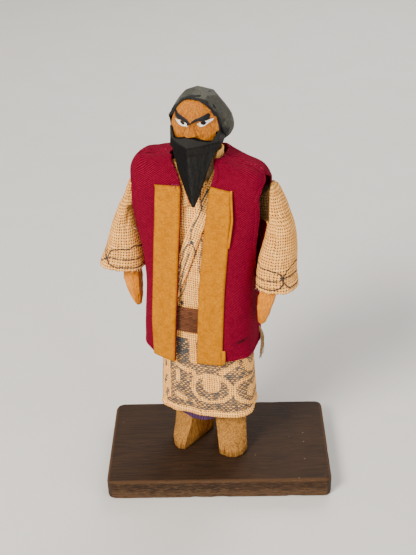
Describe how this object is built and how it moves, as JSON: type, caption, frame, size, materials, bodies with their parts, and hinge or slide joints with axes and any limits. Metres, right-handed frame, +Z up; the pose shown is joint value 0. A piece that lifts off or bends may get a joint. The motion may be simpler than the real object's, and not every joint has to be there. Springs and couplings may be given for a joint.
{
  "type": "carved wooden doll",
  "caption": "Carved wooden elder figure in a wrapped robe, sash and open coat, standing on a flat plinth, with a turning head and swinging arms.",
  "frame": {"origin": "centre of the plinth's underside", "axes": "+X along the plinth's long side to the right as seen from its front, +Y to the back, +Z up"},
  "size_m": [0.12, 0.068, 0.2164],
  "materials": {
    "plinth": "dark stained, satin, worn at the edges",
    "face_wood": "carved, orange-brown stain",
    "limb_wood": "carved, pale orange",
    "foot_wood": "carved, bare",
    "core_wood": "bare",
    "hair_paint": "carved, dark grey paint",
    "beard_paint": "carved, black paint",
    "burlap": "coarse plain weave with blue-grey print",
    "sash_cloth": "ribbed braid",
    "purple_cloth": "plain weave",
    "crimson_twill": "twill",
    "yellow_cloth": "plain weave, felted",
    "steel": "satin"
  },
  "bodies": {
    "figure": {"plinth": "plinth", "plinth_screw_left": "steel", "plinth_screw_right": "steel", "foot_left": "foot_wood", "foot_right": "foot_wood", "leg_dowel_left": "core_wood", "leg_dowel_right": "core_wood", "body_block": "core_wood", "neck_dowel": "core_wood", "underskirt": "purple_cloth", "robe": "burlap", "sash": "sash_cloth", "sash_tail": "sash_cloth", "collar_left": "burlap", "collar_right": "burlap", "coat_front_left": "crimson_twill", "coat_front_right": "crimson_twill", "coat_back": "crimson_twill", "coat_band_left": "yellow_cloth", "coat_band_right": "yellow_cloth", "shoulder_nail_left": "steel", "shoulder_nail_right": "steel"},
    "head_body": {"head": "face_wood", "hair": "hair_paint", "beard": "beard_paint"},
    "arm_left_body": {"arm_left": "limb_wood", "sleeve_left": "burlap"},
    "arm_right_body": {"arm_right": "limb_wood", "sleeve_right": "burlap"}
  },
  "joints": [
    {"name": "head_turn", "type": "hinge", "parent": "figure", "child": "head_body", "pos_m": [-0.00516, 0.00425, 0.188], "axis": [0, 0, 1], "range_deg": [-15, 15]},
    {"name": "arm_left_swing", "type": "hinge", "parent": "figure", "child": "arm_left_body", "pos_m": [0.02489, -0.00552, 0.1615], "axis": [-0.9511, 0.309, 0], "range_deg": [-20, 75]},
    {"name": "arm_right_swing", "type": "hinge", "parent": "figure", "child": "arm_right_body", "pos_m": [-0.03598, 0.01426, 0.1615], "axis": [-0.9511, 0.309, 0], "range_deg": [-20, 75]}
  ]
}
